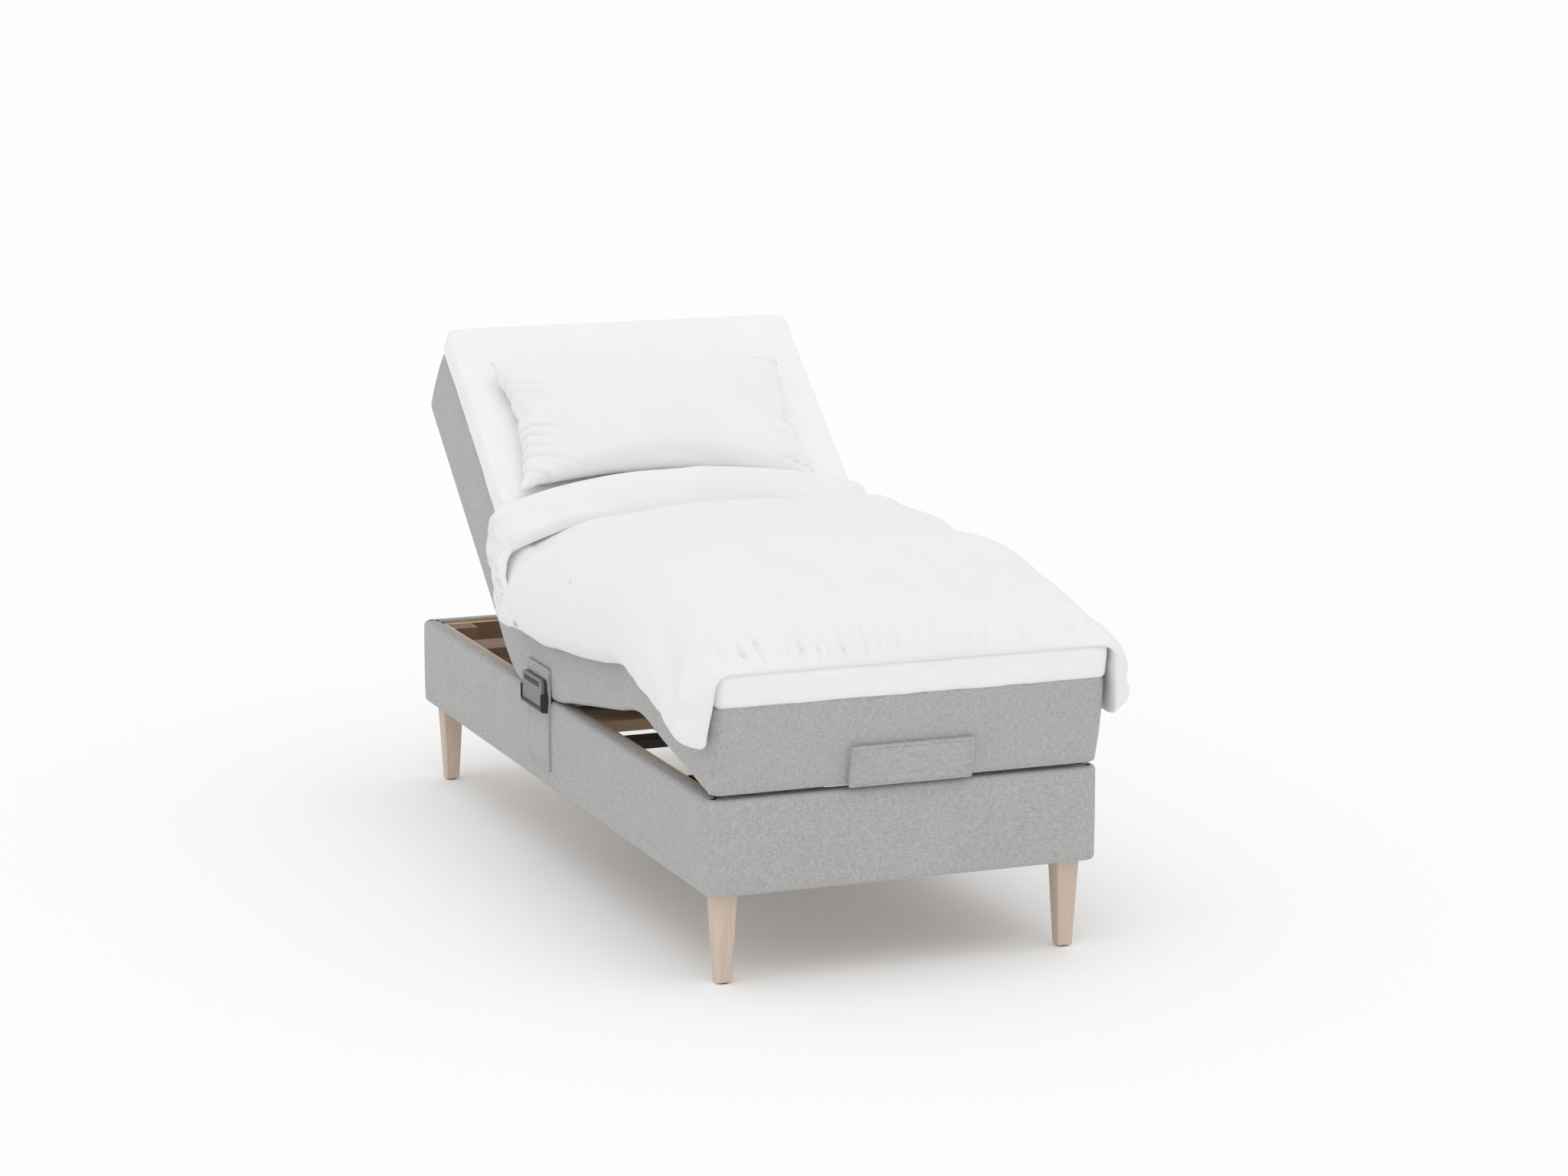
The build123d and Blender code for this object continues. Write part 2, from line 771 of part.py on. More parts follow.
with BuildPart() as brackets:
    for place in shaft_places.values():
        for edge in (-1, 1):
            with BuildSketch(Plane.YZ.offset(edge * inner_x)):
                with Locations(place):
                    Rectangle(bracket_length, bracket_height)
                    Circle(shaft_radius + shaft_bore, mode=Mode.SUBTRACT)
            extrude(amount=-edge * bracket_thickness)
save(brackets, "shaft_brackets")

# Wedge-shaped runners under the back panel keep the shoes in touch as they slide.
def runner_point(raised):
    y, z = shoe_centre("back", raised)
    a = radians(raised)
    along = (y - hip_y) * cos(a) + (z - hinge_z) * sin(a)
    height = -(y - hip_y) * sin(a) + (z - hinge_z) * cos(a)
    return along, height + shoe_radius + runner_clearance


underside = mattress_low - hinge_z
runner_low = [
    runner_point(back_limit * step / runner_steps) for step in range(1, runner_steps)
]
runner_low = [(u, min(v, underside - runner_minimum)) for u, v in runner_low]
with BuildPart() as runners:
    for edge in (-1, 1):
        x = edge * (arm_x + arm_thickness / 2 + shoe_width / 2)
        with BuildSketch(side_of("back", x)):
            with BuildLine():
                Polyline(
                    (runner_low[0][0], underside), *runner_low, (runner_low[-1][0], underside),
                    close=True,
                )
            make_face()
        extrude(amount=runner_width / 2, both=True)
save(runners, "back_runners")

inlet_y = thigh_y - inlet_offset
inlet_z = base_top - inlet_depth

# Drive housing: a closed box over both shafts, with a lid underneath.
shaft_ends = [shaft_places["thigh"], shaft_places["back"]]
(foot_end_y, foot_end_z), (head_end_y, head_end_z) = shaft_ends
housing_slope = degrees(atan2(head_end_z - foot_end_z, head_end_y - foot_end_y))
housing_span = head_end_y - foot_end_y + 2 * housing_rim
housing_plane = Plane(
    origin=(0, (foot_end_y + head_end_y) / 2, (foot_end_z + head_end_z) / 2),
    x_dir=(0, cos(radians(housing_slope)), sin(radians(housing_slope))),
    z_dir=(1, 0, 0),
)
housing_drop = housing_rim - housing_depth / 2
housing_floor = housing_drop - housing_depth / 2
cavity_half = housing_width / 2 - housing_wall
boss_x = cavity_half - boss_radius + boss_merge
boss_y = housing_span / 2 - housing_wall - boss_radius + boss_merge
# Seen from below: local x across the bed, z down and away from the housing.
lid_plane = Plane(
    origin=housing_plane.from_local_coords((0, housing_floor, 0)),
    x_dir=(1, 0, 0),
    z_dir=-housing_plane.y_dir,
)
with BuildPart() as housing:
    with BuildSketch(housing_plane):
        with Locations((0, housing_drop)):
            RectangleRounded(housing_span, housing_depth, housing_corner)
    extrude(amount=housing_width / 2, both=True)
    fillet(housing.faces().sort_by(Axis.X)[0].edges(), housing_edge)
    fillet(housing.faces().sort_by(Axis.X)[-1].edges(), housing_edge)
    with BuildSketch(lid_plane):
        Rectangle(2 * cavity_half, housing_span - 2 * housing_wall)
    extrude(amount=-(housing_depth - housing_wall), mode=Mode.SUBTRACT)
    with BuildSketch(lid_plane.offset(-boss_drop)):
        with GridLocations(2 * boss_x, 2 * boss_y, 2, 2):
            Circle(boss_radius)
    extrude(amount=-(housing_depth - housing_wall - boss_drop))
    for y, z in shaft_ends:
        with BuildSketch(Plane.YZ):
            with Locations((y, z)):
                Circle(shaft_radius + shaft_bore)
        extrude(amount=housing_width, both=True, mode=Mode.SUBTRACT)
    with BuildSketch(lid_plane.offset(-boss_drop)):
        with GridLocations(2 * boss_x, 2 * boss_y, 2, 2):
            Circle(lid_screw_radius + lid_bore)
    extrude(amount=-boss_hole, mode=Mode.SUBTRACT)
    with BuildSketch(Plane.YZ.offset(housing_width / 2)):
        with Locations((inlet_y, inlet_z)):
            Circle(inlet_radius + lid_bore)
    extrude(amount=-housing_wall, mode=Mode.SUBTRACT)
save(housing, "drive_housing")

with BuildPart() as lid:
    with BuildSketch(lid_plane.offset(-lid_recess)):
        Rectangle(
            2 * (cavity_half - lid_clearance), housing_span - 2 * (housing_wall + lid_clearance)
        )
        with GridLocations(2 * boss_x, 2 * boss_y, 2, 2):
            Circle(lid_screw_radius + lid_bore, mode=Mode.SUBTRACT)
    extrude(amount=-lid_thickness)
save(lid, "drive_lid")

with BuildPart() as lid_screws:
    with BuildSketch(lid_plane.offset(-lid_recess)):
        with GridLocations(2 * boss_x, 2 * boss_y, 2, 2):
            Circle(lid_screw_radius)
    extrude(amount=-lid_screw_length)
    with BuildSketch(lid_plane.offset(-lid_recess)):
        with GridLocations(2 * boss_x, 2 * boss_y, 2, 2):
            Circle(2 * lid_screw_radius)
    extrude(amount=lid_screw_head)
save(lid_screws, "lid_screws")

with BuildPart() as inlet:
    with BuildSketch(Plane.YZ.offset(housing_width / 2 - housing_wall)):
        with Locations((inlet_y, inlet_z)):
            Circle(inlet_radius)
            Circle(inlet_bore, mode=Mode.SUBTRACT)
    extrude(amount=housing_wall + inlet_reach)
    rim = inlet.faces().sort_by(Axis.X)[-1].edges().sort_by(SortBy.LENGTH)[-1]
    chamfer(rim, inlet_chamfer)
save(inlet, "drive_inlet")
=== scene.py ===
import math

import bmesh
import bpy
import numpy as np
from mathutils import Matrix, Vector, noise


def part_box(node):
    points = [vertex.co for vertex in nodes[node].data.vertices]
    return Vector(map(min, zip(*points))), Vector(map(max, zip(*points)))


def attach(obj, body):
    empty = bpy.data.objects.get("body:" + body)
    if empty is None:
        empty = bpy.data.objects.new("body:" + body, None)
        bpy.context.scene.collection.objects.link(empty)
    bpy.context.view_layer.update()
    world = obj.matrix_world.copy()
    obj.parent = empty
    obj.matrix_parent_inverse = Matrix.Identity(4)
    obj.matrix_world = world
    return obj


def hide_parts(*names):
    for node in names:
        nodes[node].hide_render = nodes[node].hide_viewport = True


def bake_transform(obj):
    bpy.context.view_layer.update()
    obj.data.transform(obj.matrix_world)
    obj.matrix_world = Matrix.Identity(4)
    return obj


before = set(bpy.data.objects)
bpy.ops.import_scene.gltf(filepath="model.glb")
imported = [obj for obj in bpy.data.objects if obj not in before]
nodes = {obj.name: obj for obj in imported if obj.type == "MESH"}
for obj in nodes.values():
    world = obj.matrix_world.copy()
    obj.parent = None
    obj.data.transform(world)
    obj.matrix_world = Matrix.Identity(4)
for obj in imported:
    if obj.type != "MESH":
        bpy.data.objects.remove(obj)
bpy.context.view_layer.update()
bpy.ops.object.select_all(action="DESELECT")

# The camera stands low at the foot end of the bed, a little to the left of it, with a long
# lens. The floor is a pale studio sheet.
bpy.ops.object.camera_add(
    location=(-3.1988, -8.4489, 2.3609),
    rotation=(math.radians(90 - 10.7269), 0, math.radians(-21.4639)),
)
camera = bpy.context.object
camera.data.lens = 90.23
camera.data.sensor_width = 36
bpy.context.scene.camera = camera
bpy.context.scene.view_settings.view_transform = "Standard"

world = bpy.data.worlds.new("studio")
world.use_nodes = True
world.node_tree.nodes["Background"].inputs["Color"].default_value = (1, 1, 1, 1)
world.node_tree.nodes["Background"].inputs["Strength"].default_value = 0.8
bpy.context.scene.world = world
bpy.ops.object.light_add(type="SUN", rotation=(math.radians(17), math.radians(-5), 0))
bpy.context.object.data.energy = 0.62
bpy.context.object.data.angle = math.radians(60)


class Wire:
    """The output of a node, which can be reckoned with: each operator adds its Math node."""

    def __init__(self, finish, socket):
        self.finish, self.socket = finish, socket

    def reckon(self, operation, first, second):
        return self.finish.node("ShaderNodeMath", {"operation": operation}, [first, second])

    def __add__(self, other):
        return self.reckon("ADD", self, other)

    def __sub__(self, other):
        return self.reckon("SUBTRACT", self, other)

    def __rsub__(self, other):
        return self.reckon("SUBTRACT", other, self)

    def __mul__(self, other):
        return self.reckon("MULTIPLY", self, other)

    def __pow__(self, other):
        return self.reckon("POWER", self, other)

    __radd__, __rmul__ = __add__, __mul__


class Finish:
    """A material, and the one method that adds nodes to it."""

    def __init__(self, name, colour, roughness, **constants):
        self.material = bpy.data.materials.new(name)
        self.material.use_nodes = True
        self.tree = self.material.node_tree
        self.shader = self.tree.nodes["Principled BSDF"]
        self.put(self.shader.inputs["Base Color"], colour)
        self.put(self.shader.inputs["Roughness"], roughness)
        for name, value in constants.items():
            self.put(self.shader.inputs[name.replace("_", " ")], value)

    def put(self, socket, value):
        if isinstance(value, Wire):
            self.tree.links.new(value.socket, socket)
        elif socket.type == "RGBA":
            socket.default_value = (*value[:3], 1)
        else:
            socket.default_value = value

    def node(self, kind, settings, inputs, output=0):
        """Adds a node: its settings first, then what its inputs are given."""
        made = self.tree.nodes.new(kind)
        for name, value in settings.items():
            if name == "stops":
                ramp = made.color_ramp.elements
                while len(ramp) < len(value):
                    ramp.new(0.5)
                for stop, (place, colour) in zip(ramp, value):
                    stop.position, stop.color = place, (*colour, 1)
            else:
                setattr(made, name, value)
        named = inputs.items() if isinstance(inputs, dict) else enumerate(inputs)
        for name, value in named:
            self.put(made.inputs[name], value)
        return Wire(self, made.outputs[output])

    def grain(self, vector, stretch, detail=3.0, roughness=0.55):
        """Noise on a pattern vector, drawn out by the three scales in features per metre."""
        placed = self.node("ShaderNodeMapping", {}, {"Vector": vector, "Scale": stretch})
        settings = {"Vector": placed, "Scale": 1.0, "Detail": detail, "Roughness": roughness}
        return self.node("ShaderNodeTexNoise", {}, settings, "Fac")

    def tint(self, factor, low, high):
        """A colour between two, by a number from 0 to 1."""
        inputs = {0: factor, 6: low, 7: high}
        return self.node("ShaderNodeMix", {"data_type": "RGBA"}, inputs, 2)

    def span(self, value, low, high, to_low=0.0, to_high=1.0):
        """A number moved from one range to another and kept in it."""
        inputs = [value, low, high, to_low, to_high]
        return self.node("ShaderNodeMapRange", {}, inputs)

    def relief(self, height, distance, strength=1.0):
        """Bumps of that height in metres."""
        inputs = {"Height": height, "Distance": distance, "Strength": strength}
        bump = self.node("ShaderNodeBump", {}, inputs, "Normal")
        self.put(self.shader.inputs["Normal"], bump)


bpy.ops.mesh.primitive_plane_add(size=240)
floor = bpy.context.object
floor.name = "studio_floor"
paper = Finish("studio_paper", (0.86, 0.86, 0.86), 0.9, Emission_Strength=0.14)
paper.put(paper.shader.inputs["Emission Color"], (1.0, 0.985, 0.97))
where = paper.node("ShaderNodeTexCoord", {}, {}, "Object")
paper.relief(paper.grain(where, (3, 3, 3)), 0.001, 0.05)
paper.put(paper.shader.inputs["Specular IOR Level"], 0.0)
floor.data.materials.append(paper.material)


# The box cover is grey melange upholstery over thin wadding. It is pulled round the board
# ring, over its top and bottom edges, and turned down 8 mm inside the box.
def pick(thing, kind, test):
    """In edit mode, selects only the vertices, edges or faces that pass the test."""
    bpy.ops.mesh.select_mode(type={"verts": "VERT", "edges": "EDGE", "faces": "FACE"}[kind])
    bpy.ops.mesh.select_all(action="DESELECT")
    mesh = bmesh.from_edit_mesh(thing.data)
    for part in getattr(mesh, kind):
        if test(part):
            part.select_set(True)
    bmesh.update_edit_mesh(thing.data)


def middle_of(part):
    return sum((corner.co for corner in part.verts), Vector()) / len(part.verts)


def block(name, low, high, corner, edge, corner_steps=6, edge_steps=4):
    """A box between two corners, its upright edges rounded first and then its rims."""
    low, high = Vector(low), Vector(high)
    bpy.ops.object.select_all(action="DESELECT")
    bpy.ops.mesh.primitive_cube_add(size=1, location=(low + high) / 2, scale=high - low)
    made = bpy.context.object
    made.name = name
    bpy.ops.object.transform_apply(location=True, rotation=True, scale=True)
    bpy.ops.object.mode_set(mode="EDIT")
    if corner:
        upright = lambda e: abs(e.verts[0].co.z - e.verts[1].co.z) > 1e-4
        pick(made, "edges", upright)
        bpy.ops.mesh.bevel(offset=corner, segments=corner_steps, affect="EDGES")
    if edge:
        flat = lambda e: abs(e.verts[0].co.z - e.verts[1].co.z) < 1e-5
        pick(made, "edges", lambda e: flat(e) and len(e.link_faces) == 2)
        bpy.ops.mesh.bevel(offset=edge, segments=edge_steps, affect="EDGES")
    bpy.ops.object.mode_set(mode="OBJECT")
    return made


def slice_up(thing, axis, places):
    """Cuts the mesh across an axis at each place, so that it can be shaped there."""
    bpy.ops.object.mode_set(mode="EDIT")
    bpy.ops.mesh.select_mode(type="FACE")
    along = Vector([float(axis == i) for i in range(3)])
    for place in places:
        bpy.ops.mesh.select_all(action="SELECT")
        bpy.ops.mesh.bisect(plane_co=along * float(place), plane_no=along)
    bpy.ops.object.mode_set(mode="OBJECT")


def points_of(thing):
    flat = np.empty(len(thing.data.vertices) * 3)
    thing.data.vertices.foreach_get("co", flat)
    return flat.reshape(-1, 3)


def move_to(thing, points):
    thing.data.vertices.foreach_set("co", np.asarray(points, float).ravel())
    thing.data.update()


def weave_follows(thing, points):
    """Keeps the flat places of the points, which the cloth patterns are drawn on."""
    kept = thing.data.attributes.new("cloth", "FLOAT_VECTOR", "POINT")
    kept.data.foreach_set("vector", np.asarray(points, np.float32).ravel())


low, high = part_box("base_cover")
rim_width = 0.035
rim_turn = 0.0075
cover = block("box_cover", low, high, 0.026, 0, 8)
bpy.ops.object.mode_set(mode="EDIT")
pick(cover, "faces", lambda f: abs(f.normal.z) > 0.9)
bpy.ops.mesh.inset(thickness=rim_width)
bpy.ops.mesh.delete(type="FACE")
for level, turn in ((high.z, -rim_turn), (low.z, rim_turn / 2)):
    pick(cover, "edges", lambda e: e.is_boundary and abs(middle_of(e).z - level) < 1e-4)
    bpy.ops.mesh.extrude_region_move(TRANSFORM_OT_translate={"value": (0, 0, turn)})


def on_rim(edge):
    ends = [corner.co.z for corner in edge.verts]
    level_with = any(max(abs(z - level) for z in ends) < 1e-5 for level in (low.z, high.z))
    return level_with and edge.calc_face_angle(0) > 1


pick(cover, "edges", lambda e: on_rim(e) and abs(middle_of(e).y - 0.025) < 2)
inside = lambda p: abs(p.x) < 0.4165 and abs(p.y - 0.025) < 1.0165
pick(cover, "edges", lambda e: on_rim(e) and not inside(middle_of(e)))
bpy.ops.mesh.bevel(offset=0.011, segments=5, affect="EDGES")
pick(cover, "edges", lambda e: on_rim(e) and inside(middle_of(e)))
bpy.ops.mesh.bevel(offset=0.002, segments=2, affect="EDGES")
bpy.ops.object.mode_set(mode="OBJECT")
slice_up(cover, 1, np.arange(-0.96, 1.04, 0.06))
slice_up(cover, 0, np.arange(-0.38, 0.39, 0.06))
slice_up(cover, 2, (0.235, 0.27, 0.305, 0.34, 0.375))
wall = points_of(cover)
outer = np.maximum(np.abs(wall[:, 0]) - 0.449, np.abs(wall[:, 1] - 0.025) - 1.049) > 0
height = (wall[:, 2] - 0.305) / 0.105
wadding = 0.0014 * np.clip(1 - height**4, 0, 1) * outer
for axis, centre in ((0, 0.0), (1, 0.025)):
    faced = np.abs(wall[:, axis] - centre) > (0.449 if axis == 0 else 1.049)
    wall[:, axis] += np.sign(wall[:, axis] - centre) * wadding * faced
move_to(cover, wall)
shell = cover.modifiers.new("cloth", "SOLIDIFY")
shell.thickness, shell.offset = 0.0045, -1
bpy.ops.object.modifier_apply(modifier="cloth")
wall = points_of(cover)
wall[:, 2] = np.clip(wall[:, 2], low.z, high.z)
move_to(cover, wall)
bpy.ops.object.shade_smooth_by_angle(angle=math.radians(50))
weave_follows(cover, wall)


def melange(name, light, dark):
    """Grey upholstery cloth: long slubs of a darker and a lighter yarn, across and upright."""
    cloth = Finish(name, dark, 0.88, Sheen_Weight=0.12, Sheen_Roughness=0.6)
    place = cloth.node("ShaderNodeAttribute", {"attribute_name": "cloth"}, {}, "Vector")
    across = cloth.grain(place, (85, 85, 560), 3, 0.6)
    upright = cloth.grain(place, (560, 560, 85), 3, 0.6)
    fine = cloth.grain(place, (1500, 1500, 1500), 1)
    broad = cloth.grain(place, (9, 9, 9), 2)
    yarn = across * 0.5 + upright * 0.42 + fine * 0.08
    shade = cloth.span(yarn + broad * 0.05, 0.36, 0.68)
    cloth.put(cloth.shader.inputs["Base Color"], cloth.tint(shade, dark, light))
    cloth.put(cloth.shader.inputs["Roughness"], cloth.span(shade, 0, 1, 0.93, 0.8))
    cloth.put(cloth.shader.inputs["Specular IOR Level"], 0.25)
    cloth.relief(yarn, 0.0016, 0.55)
    return cloth.material


grey_cloth = melange("grey_melange", (0.555, 0.555, 0.552), (0.315, 0.315, 0.313))
cover.data.materials.append(grey_cloth)
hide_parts("base_cover")
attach(cover, "base")


# The box frame is a ring of pine boards with liner boards inside. The liners are painted
# dark brown as painted shade, and their upward faces pale as painted light. Crossbeams and
# bearers run across it, and blocks stiffen its corners.
def finish_of(material, *names):
    for name in names:
        nodes[name].data.materials.clear()
        nodes[name].data.materials.append(material)


def timber(name, pale, deep, stretch, bands=0.35, roughness=0.55):
    """Planed wood whose grain runs along the axis with the smallest scale."""
    wood = Finish(name, pale, roughness)
    place = wood.node("ShaderNodeTexCoord", {}, {}, "Object")
    fibre = wood.grain(place, stretch, 6, 0.65)
    ring = wood.grain(place, tuple(s * 0.22 for s in stretch), 2, 0.4)
    mixed = fibre * (1 - bands) + ring * bands
    shade = wood.span(mixed, 0.32, 0.7)
    wood.put(wood.shader.inputs["Base Color"], wood.tint(shade, deep, pale))
    wood.put(wood.shader.inputs["Roughness"], wood.span(fibre, 0.3, 0.7, 0.45, 0.68))
    wood.relief(fibre, 0.0004, 0.35)
    return wood


pine_across = timber("pine_across", (0.72, 0.56, 0.39), (0.52, 0.37, 0.23), (5, 130, 130))
pine_along = timber("pine_along", (0.72, 0.56, 0.39), (0.52, 0.37, 0.23), (130, 5, 130))
finish_of(pine_across.material, "seat_bearers", "end_boards")
finish_of(pine_along.material, "side_boards")
for name, scales in (("inner_side_boards", (110, 6, 110)), ("inner_end_boards", (6, 110, 110))):
    liner = timber(f"{name}_brown", (0.30, 0.185, 0.115), (0.17, 0.10, 0.06), scales)
    # Upward faces get the pale colour as painted light; the other faces keep the dark brown as painted shade.
    facing = liner.node("ShaderNodeNewGeometry", {}, {}, "Normal")
    upward = liner.node("ShaderNodeSeparateXYZ", {}, [facing], "Z")
    lit_top_mask = liner.span(upward, 0.8, 0.9)
    brown = Wire(liner, liner.shader.inputs["Base Color"].links[0].from_socket)
    lit_top_tint = liner.tint(lit_top_mask, brown, (0.66, 0.5, 0.34))
    liner.put(liner.shader.inputs["Base Color"], lit_top_tint)
    finish_of(liner.material, name)
blocks = timber("brown_blocks", (0.30, 0.185, 0.115), (0.17, 0.10, 0.06), (110, 110, 6))
finish_of(blocks.material, "corner_blocks")
beams = timber("beam_faces", (0.72, 0.56, 0.39), (0.52, 0.37, 0.23), (5, 130, 130))
spot = beams.node("ShaderNodeTexCoord", {}, {}, "Object")
headward = beams.node("ShaderNodeSeparateXYZ", {}, [spot], "Y")
pale = Wire(beams, beams.shader.inputs["Base Color"].links[0].from_socket)
beams.put(beams.shader.inputs["Base Color"], beams.tint(beams.span(headward, 0.4, 0.41), pale, (0.24, 0.145, 0.09)))
finish_of(beams.material, "crossbeams")

# Four tapered oak legs, lightly oiled, with felt glides under them. Each hangs on a steel
# plate by one bolt.
oak = timber("oiled_oak", (0.73, 0.61, 0.51), (0.58, 0.46, 0.37), (150, 150, 9), 0.4)
finish_of(oak.material, "legs")
felt = Finish("felt", (0.12, 0.115, 0.11), 0.95)
place = felt.node("ShaderNodeTexCoord", {}, {}, "Object")
felt.relief(felt.grain(place, (900, 900, 900), 5), 0.0006, 0.8)
finish_of(felt.material, "leg_glides")


# The fixings are bright zinc plated steel: leg plates and bolts, screws, headboard inserts
# and the leaves and pins of the section hinges.
def worn_metal(name, pale, deep, roughness, metallic, relief=0.0002):
    metal = Finish(name, pale, roughness, Metallic=metallic)
    place = metal.node("ShaderNodeTexCoord", {}, {}, "Object")
    fleck = metal.grain(place, (260, 260, 260), 5, 0.7)
    cloud = metal.grain(place, (18, 18, 18), 3)
    shade = metal.span(fleck * 0.5 + cloud * 0.5, 0.3, 0.7)
    metal.put(metal.shader.inputs["Base Color"], metal.tint(shade, deep, pale))
    metal.put(
        metal.shader.inputs["Roughness"],
        metal.span(shade, 0, 1, roughness - 0.08, roughness + 0.1),
    )
    metal.relief(fleck, relief, 0.4)
    return metal.material


zinc = worn_metal("zinc_plate", (0.68, 0.69, 0.70), (0.5, 0.51, 0.53), 0.34, 1.0)
leaves = [n for n in nodes if "_leaf_" in n or n.endswith("_pins")]
finish_of(zinc, "leg_plates", "leg_bolts", "plate_screws", "lid_screws", "headboard_inserts", *leaves)

# The lift gear: two torque tubes with welded arms in steel brackets, turned by a drive in
# a black moulded housing, and a steel bar across the box.
black_steel = worn_metal("powder_coat", (0.03, 0.03, 0.032), (0.018, 0.018, 0.02), 0.42, 0.0, 0.0003)
finish_of(black_steel, "back_lift_shaft", "thigh_lift_shaft", "shaft_brackets", "steel_crossbar")


def moulding(name, pale, deep, roughness, relief):
    """Moulded plastic with a fine spark-eroded texture."""
    return worn_metal(name, pale, deep, roughness, 0.0, relief)


black_plastic = moulding("black_moulding", (0.034, 0.034, 0.036), (0.024, 0.024, 0.026), 0.5, 0.0003)
finish_of(black_plastic, "drive_housing", "drive_lid", "drive_inlet", "back_runners")

# The sections lie on birch plywood panels.
plywood = timber("birch_plywood", (0.62, 0.47, 0.32), (0.5, 0.36, 0.23), (90, 4, 90), 0.3)
finish_of(plywood.material, *[n for n in nodes if n.startswith("panel_")])

# The mattress is one long foam core in a grey cover, on hinged panels. It bends over the
# hip, thigh and knee hinges, so it is drawn flat and then raised.
hip = np.array([0.0, 0.239, 0.586])
thigh = np.array([0.0, 0.025, 0.586])
knee_flat = np.array([0.0, -0.565, 0.431])
back_raised, thigh_raised, knee_bent = (math.radians(a) for a in (39.5, 9.0, 20.0))
seat_cut, thigh_cut = 0.062, -0.27


def turned(points, pivot, angle):
    """The points turned about the X axis through a pivot, each by its own angle."""
    across, up = (points - pivot)[:, 1], (points - pivot)[:, 2]
    c, s = np.cos(angle), np.sin(angle)
    new = points.copy()
    new[:, 1] = pivot[1] + across * c - up * s
    new[:, 2] = pivot[2] + across * s + up * c
    return new


knee = turned(knee_flat[None], thigh, -thigh_raised)[0]
lean = math.radians(8)
lean_way = np.array([0.0, math.cos(lean), math.sin(lean)])
hip_zone = (hip - 0.15 * lean_way, hip + 0.18 * lean_way)
thigh_zone = (thigh + (0, 0.035, 0), thigh - (0, 0.135, 0))
knee_zone = (knee + (0, 0.15, 0), knee - (0, 0.15, 0))


def eased(points, zone):
    """How far each point is through a zone, from 0 to 1, with soft ends."""
    start, way = zone[0], zone[1] - zone[0]
    t = np.clip((points - start) @ way / (way @ way), 0, 1)
    return t * t * (3 - 2 * t)


def raised(flat):
    """Where points of the flat bed lie with the back and the thighs raised."""
    lifted = turned(flat, thigh, -thigh_raised)
    new = flat.copy()
    for here, start, pivot, angle, zone in (
        (flat[:, 1] > seat_cut, flat, hip, back_raised, hip_zone),
        ((flat[:, 1] <= seat_cut) & (flat[:, 1] > thigh_cut), flat, thigh, -thigh_raised, thigh_zone),
        (flat[:, 1] <= thigh_cut, lifted, knee, knee_bent, knee_zone),
    ):
        settled = turned(start, pivot, angle * eased(start, zone))
        for _ in range(60):
            settled = 0.5 * settled + 0.5 * turned(start, pivot, angle * eased(settled, zone))
        new[here] = settled[here]
    return new


joins = (
    ("back", "base", "back", hip_zone, seat_cut, 9),
    ("thigh", "base", "thigh", thigh_zone, thigh_cut, seat_cut),
    ("calf", "thigh", "calf", knee_zone, -9, thigh_cut),
)


def lay(thing, material, stands_for):
    """Raises a flat layer with the bed and parts it into three pieces at the seat and thigh cuts."""
    flat = points_of(thing)
    weave_follows(thing, flat)
    middles = np.array([flat[list(face.vertices)].mean(0)[1] for face in thing.data.polygons])
    move_to(thing, raised(flat))
    bpy.ops.object.select_all(action="DESELECT")
    thing.select_set(True)
    bpy.context.view_layer.objects.active = thing
    bpy.ops.object.shade_smooth()
    normals = np.empty(len(thing.data.vertices) * 3, np.float32)
    thing.data.vertices.foreach_get("normal", normals)
    kept = thing.data.attributes.new("whole", "FLOAT_VECTOR", "POINT")
    kept.data.foreach_set("vector", normals)
    thing.data.materials.clear()
    thing.data.materials.append(material)
    pieces = []
    for part, first, second, zone, low_cut, high_cut in joins:
        gone = (middles < low_cut) | (middles > high_cut)
        mesh = bmesh.new()
        mesh.from_mesh(thing.data)
        mesh.faces.ensure_lookup_table()
        bmesh.ops.delete(mesh, geom=[mesh.faces[i] for i in np.flatnonzero(gone)], context="FACES")
        rim = [e for e in mesh.edges if e.is_boundary]
        caps = bmesh.ops.holes_fill(mesh, edges=rim, sides=0)["faces"]
        caps = bmesh.ops.triangulate(mesh, faces=caps)["faces"]
        mesh.normal_update()
        body = sum((v.co for v in mesh.verts), Vector()) / len(mesh.verts)
        for cap in caps:
            if cap.normal.dot(cap.calc_center_median() - body) < 0:
                cap.normal_flip()
            cap.smooth = False
        made = bpy.data.meshes.new(f"{thing.name}_{part}")
        made.materials.append(material)
        mesh.to_mesh(made)
        mesh.free()
        piece = bpy.data.objects.new(f"{thing.name}_{part}_section", made)
        bpy.context.collection.objects.link(piece)
        whole = np.empty(len(made.vertices) * 3, np.float32)
        made.attributes["whole"].data.foreach_get("vector", whole)
        whole = whole.reshape(-1, 3)
        split = np.zeros((len(made.loops), 3), np.float32)
        for face in made.polygons:
            for loop in face.loop_indices:
                flat_face = not face.use_smooth
                split[loop] = face.normal if flat_face else whole[made.loops[loop].vertex_index]
        made.normals_split_custom_set(split.tolist())
        made.attributes.remove(made.attributes["whole"])
        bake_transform(piece)
        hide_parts(*[n for n in stands_for if n in nodes and n.endswith("_" + part)])
        pieces.append(piece)
    bpy.data.objects.remove(thing)
    return pieces


